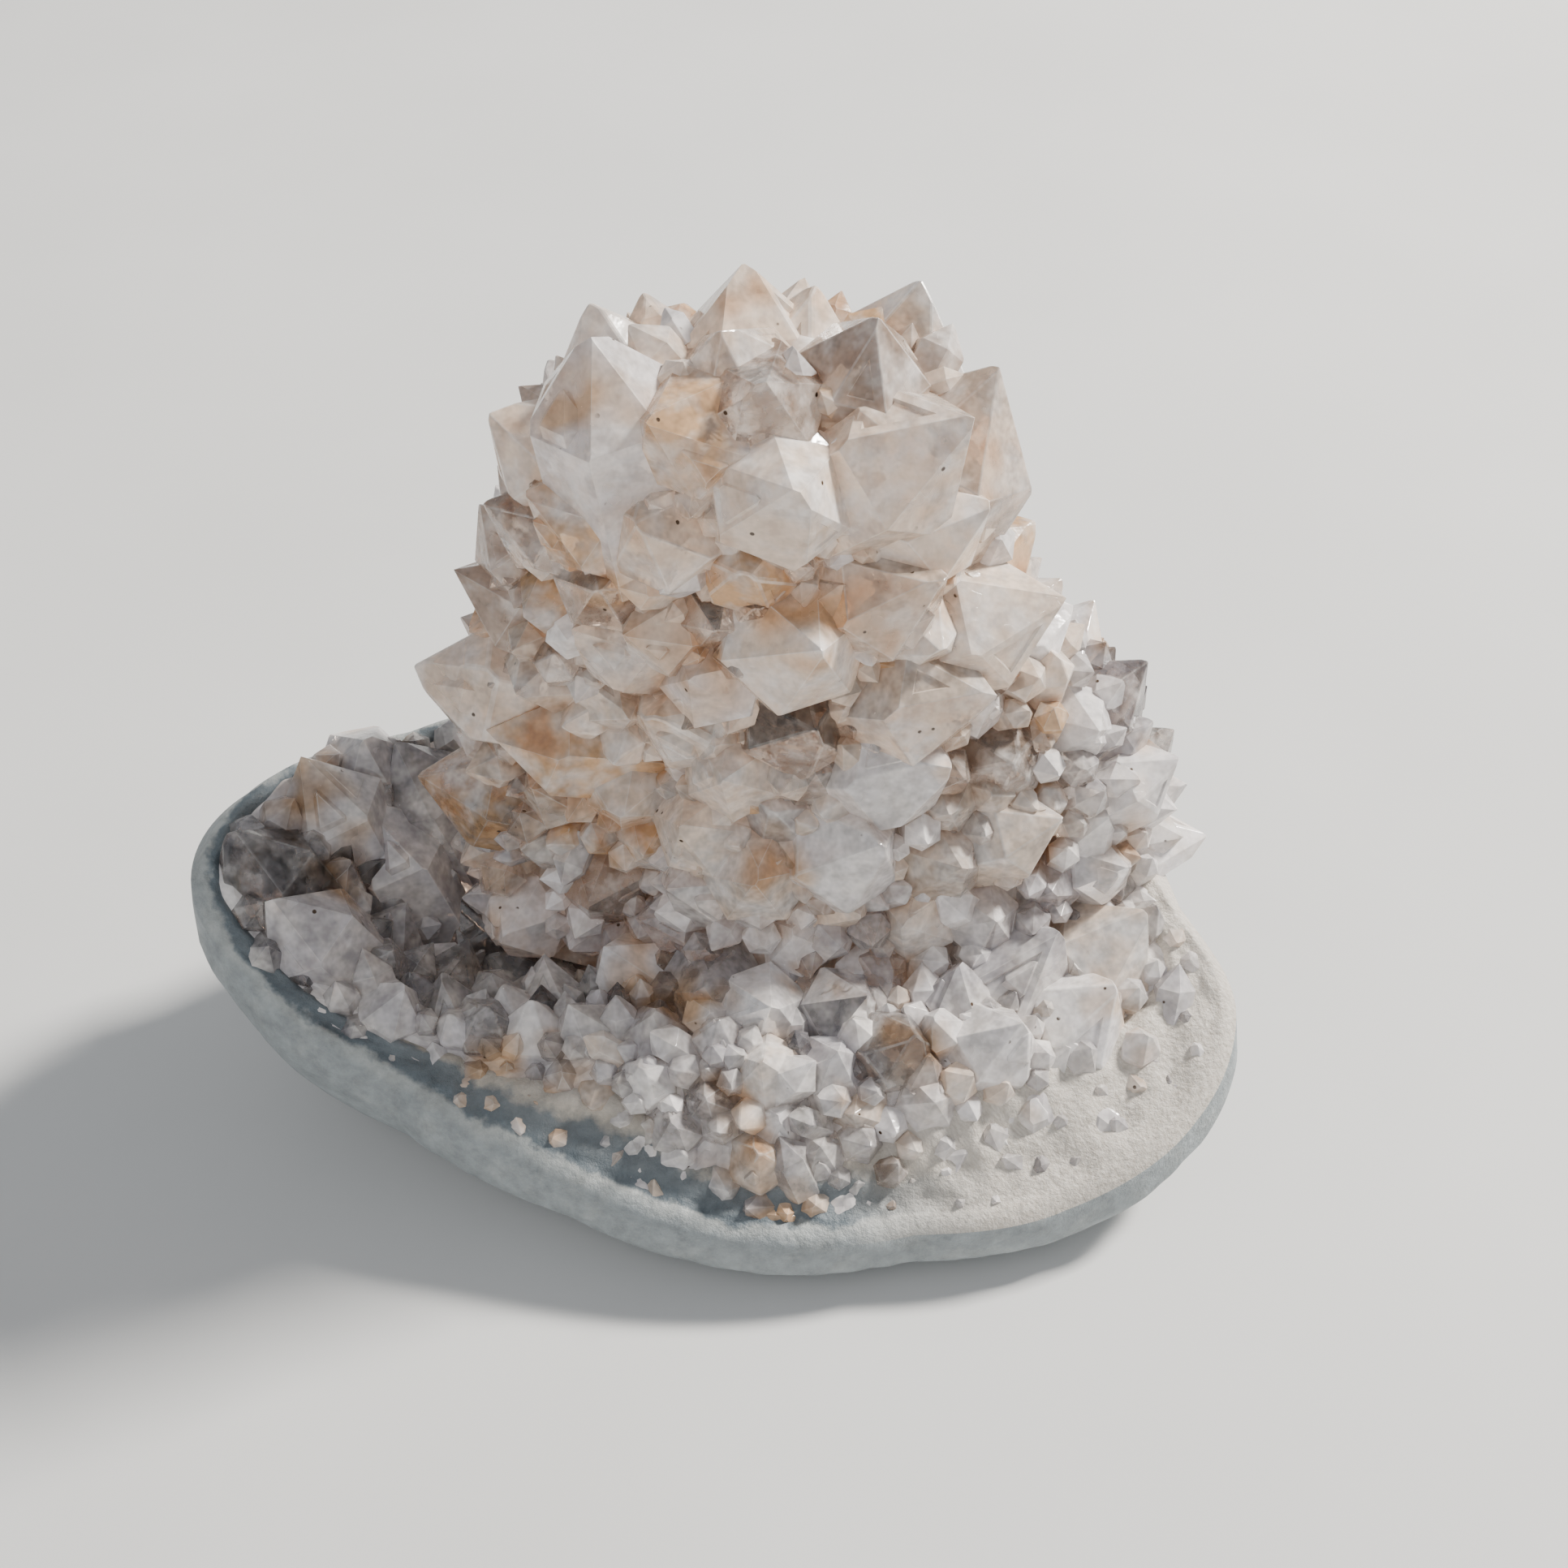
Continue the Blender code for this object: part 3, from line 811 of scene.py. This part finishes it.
def bump(tree, height, strength, distance, normal=None):
    node = add(tree, "ShaderNodeBump")
    node.inputs["Strength"].default_value = strength
    node.inputs["Distance"].default_value = distance
    tree.links.new(height, node.inputs["Height"])
    if normal is not None:
        tree.links.new(normal, node.inputs["Normal"])
    return node.outputs["Normal"]


def quartz_finish():
    """Clear to cloudy quartz: veils, fine glitter, dark specks and iron stains inside, glassy faces, and a
    painted highlight that whitens the rounded edges.
    """
    made, tree, shader = new_material("quartz_crystal")
    place = add(tree, "ShaderNodeTexCoord").outputs["Object"]
    tint = add(tree, "ShaderNodeAttribute", attribute_name="tint")
    edge = add(tree, "ShaderNodeAttribute", attribute_name="edge")
    cloud = tint.outputs["Alpha"]
    veils = noise_at(tree, place, 170, 3, 0.62)
    wisps = noise_at(tree, place, 520, 2, 0.7)
    milk = ramp(tree, veils, (0.42, 0.0), (0.66, 1.0))
    colour = mix(tree, milk, tint.outputs["Color"], (0.95, 0.90, 0.86))
    stain = ramp(tree, noise_at(tree, place, 75, 2, 0.6), (0.56, 0.0), (0.70, 0.75))
    colour = mix(tree, stain, colour, (0.72, 0.42, 0.16), "MULTIPLY")
    specks = add(tree, "ShaderNodeTexVoronoi")
    specks.inputs["Scale"].default_value = 420
    tree.links.new(place, specks.inputs["Vector"])
    dots = ramp(tree, specks.outputs["Distance"], (0.09, 1.0), (0.13, 0.0))
    rare = ramp(tree, noise_at(tree, place, 260, 1), (0.60, 0.0), (0.63, 1.0))
    dots = maths(tree, "MULTIPLY", dots, rare)
    colour = mix(tree, dots, colour, (0.06, 0.035, 0.02))
    # Painted highlight: the rounded edges and the sunken steps' walls are mixed towards white in the base
    # colour.
    painted_edge_highlight = maths(tree, "MULTIPLY", edge.outputs["Fac"], 0.35)
    colour = mix(tree, painted_edge_highlight, colour, (1.0, 0.97, 0.93))
    tree.links.new(colour, shader.inputs["Base Color"])
    clear = maths(tree, "SUBTRACT", 1.0, cloud)
    hazy = maths(tree, "MULTIPLY", ramp(tree, wisps, (0.35, 0.0), (0.7, 0.35)), 1.0)
    clear = maths(tree, "SUBTRACT", maths(tree, "ADD", clear, 0.15), hazy)
    clear = maths(tree, "MULTIPLY", clear, ramp(tree, dots, (0.0, 1.0), (1.0, 0.0)))
    clear = maths(tree, "MINIMUM", maths(tree, "MAXIMUM", clear, 0.0), 1.0)
    tree.links.new(clear, shader.inputs["Transmission Weight"])
    frost = ramp(tree, noise_at(tree, place, 240, 2, 0.65), (0.35, 0.04), (0.72, 0.32))
    tree.links.new(frost, shader.inputs["Roughness"])
    shader.inputs["IOR"].default_value = 1.54
    growth = bump(tree, noise_at(tree, place, 330, 3, 0.6), 0.25, 0.0004)
    glitter = add(tree, "ShaderNodeTexVoronoi")
    glitter.inputs["Scale"].default_value = 900
    tree.links.new(place, glitter.inputs["Vector"])
    flakes = mix(tree, ramp(tree, noise_at(tree, place, 200, 2), (0.5, 0.0), (0.62, 1.0)), (0.0, 0.0, 0.0),
                 glitter.outputs["Color"])
    growth = bump(tree, flakes, 0.35, 0.0003, growth)
    tree.links.new(growth, shader.inputs["Normal"])
    absorb = add(tree, "ShaderNodeVolumeAbsorption")
    absorb.inputs["Color"].default_value = (0.86, 0.74, 0.64, 1)
    absorb.inputs["Density"].default_value = 22.0
    tree.links.new(absorb.outputs["Volume"], tree.nodes["Material Output"].inputs["Volume"])
    return made


def agate_finish():
    """The rind: dull pale skin outside, then a dark blue-grey agate band, then beige fibrous quartz."""
    made, tree, shader = new_material("agate_skin")
    place = add(tree, "ShaderNodeTexCoord").outputs["Object"]
    band = add(tree, "ShaderNodeAttribute", attribute_name="band").outputs["Fac"]
    wave = maths(tree, "MULTIPLY", maths(tree, "SUBTRACT", noise_at(tree, place, 260, 4, 0.6), 0.5), 6.0)
    depth = maths(tree, "ADD", band, wave)
    layers = ramp(tree, maths(tree, "DIVIDE", depth, 20.0), (0.0, (0.30, 0.33, 0.34)),
                  (0.12, (0.40, 0.42, 0.41)), (0.17, (0.13, 0.16, 0.18)), (0.36, (0.17, 0.19, 0.20)),
                  (0.44, (0.52, 0.47, 0.40)), (0.6, (0.50, 0.46, 0.42)))
    mottle = ramp(tree, noise_at(tree, place, 420, 5, 0.7), (0.3, 0.72), (0.7, 1.2))
    colour = mix(tree, 1.0, layers, mottle, "MULTIPLY")
    parts = add(tree, "ShaderNodeSeparateXYZ")
    tree.links.new(place, parts.inputs[0])
    right = ramp(tree, maths(tree, "MULTIPLY", parts.outputs["X"], 10.0), (0.15, 0.0), (0.33, 1.0))
    turn = maths(tree, "ARCTAN2", parts.outputs["Y"], parts.outputs["X"])
    streak_place = add(tree, "ShaderNodeCombineXYZ")
    tree.links.new(maths(tree, "MULTIPLY", turn, 3.0), streak_place.inputs[0])
    tree.links.new(maths(tree, "MULTIPLY", band, 0.02), streak_place.inputs[1])
    fibres = noise_at(tree, streak_place.outputs[0], 60, 4, 0.6)
    sand = ramp(tree, fibres, (0.3, (0.46, 0.41, 0.35)), (0.7, (0.74, 0.69, 0.62)))
    rim = ramp(tree, band, (0.0, 0.0), (0.05, 1.0))
    sandy = maths(tree, "MULTIPLY", right, rim)
    colour = mix(tree, sandy, colour, sand)
    tree.links.new(colour, shader.inputs["Base Color"])
    shader.inputs["Roughness"].default_value = 0.55
    grain = bump(tree, noise_at(tree, place, 900, 4, 0.7), 0.6, 0.0006)
    tree.links.new(grain, shader.inputs["Normal"])
    return made


def floor_finish():
    made, tree, shader = new_material("pale_floor")
    place = add(tree, "ShaderNodeTexCoord").outputs["Object"]
    tone = ramp(tree, noise_at(tree, place, 14, 4, 0.5), (0.3, (0.66, 0.66, 0.65)), (0.7, (0.71, 0.71, 0.70)))
    tree.links.new(tone, shader.inputs["Base Color"])
    shader.inputs["Roughness"].default_value = 0.8
    return made


def make_floor():
    bm = bmesh.new()
    bmesh.ops.create_grid(bm, x_segments=1, y_segments=1, size=3000)
    floor = new_object("floor", bm, floor_finish())


def area_light(name, toward, distance, size, power, colour=(1, 1, 1)):
    """A square light that looks at the specimen's middle from a direction."""
    data = bpy.data.lights.new(name, "AREA")
    data.size = size
    data.energy = power
    data.color = colour
    lamp = bpy.data.objects.new(name, data)
    direction = Vector(toward).normalized()
    lamp.location = Vector((0, 0, 0.05)) + direction * distance
    lamp.rotation_euler = direction.to_track_quat("Z", "Y").to_euler()
    bpy.context.scene.collection.objects.link(lamp)


def make_lights():
    area_light("key", (0.75, 0.35, 0.75), 1.4, 0.22, 48, (1.0, 0.96, 0.90))
    area_light("fill", (-0.5, -0.8, 0.9), 1.8, 1.6, 7)
    world = bpy.data.worlds.new("studio")
    world.use_nodes = True
    world.node_tree.nodes["Background"].inputs["Color"].default_value = (0.86, 0.90, 0.95, 1)
    world.node_tree.nodes["Background"].inputs["Strength"].default_value = 0.45
    bpy.context.scene.world = world


def make_camera():
    """The photograph's view: looking down at 44 degrees, with a field of view of 38 degrees."""
    camera = bpy.data.objects.new("camera", bpy.data.cameras.new("camera"))
    camera.data.sensor_width = 36
    camera.data.lens = 52.17
    camera.data.clip_start = 0.01
    camera.location = ((7 + SHIFT[0]) * MM, (-185 + SHIFT[1]) * MM, 227 * MM)
    camera.rotation_euler = (math.radians(90 - 44), 0, 0)
    bpy.context.scene.collection.objects.link(camera)
    bpy.context.scene.camera = camera


quartz = quartz_finish()
growth = bpy.data.collections.new("growth")
bpy.context.scene.collection.children.link(growth)
large_crystals = make_large_crystals(quartz, growth)
make_fine_crystals(quartz, growth, large_crystals)
make_tower_core(quartz, growth)
quartz_growth = make_mound(quartz)
join_growth(quartz_growth, growth)
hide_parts("quartz")
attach(quartz_growth, "root")

agate_rind = make_rind(agate_finish())
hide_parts("rind")
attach(agate_rind, "root")

make_floor()
make_lights()
make_camera()
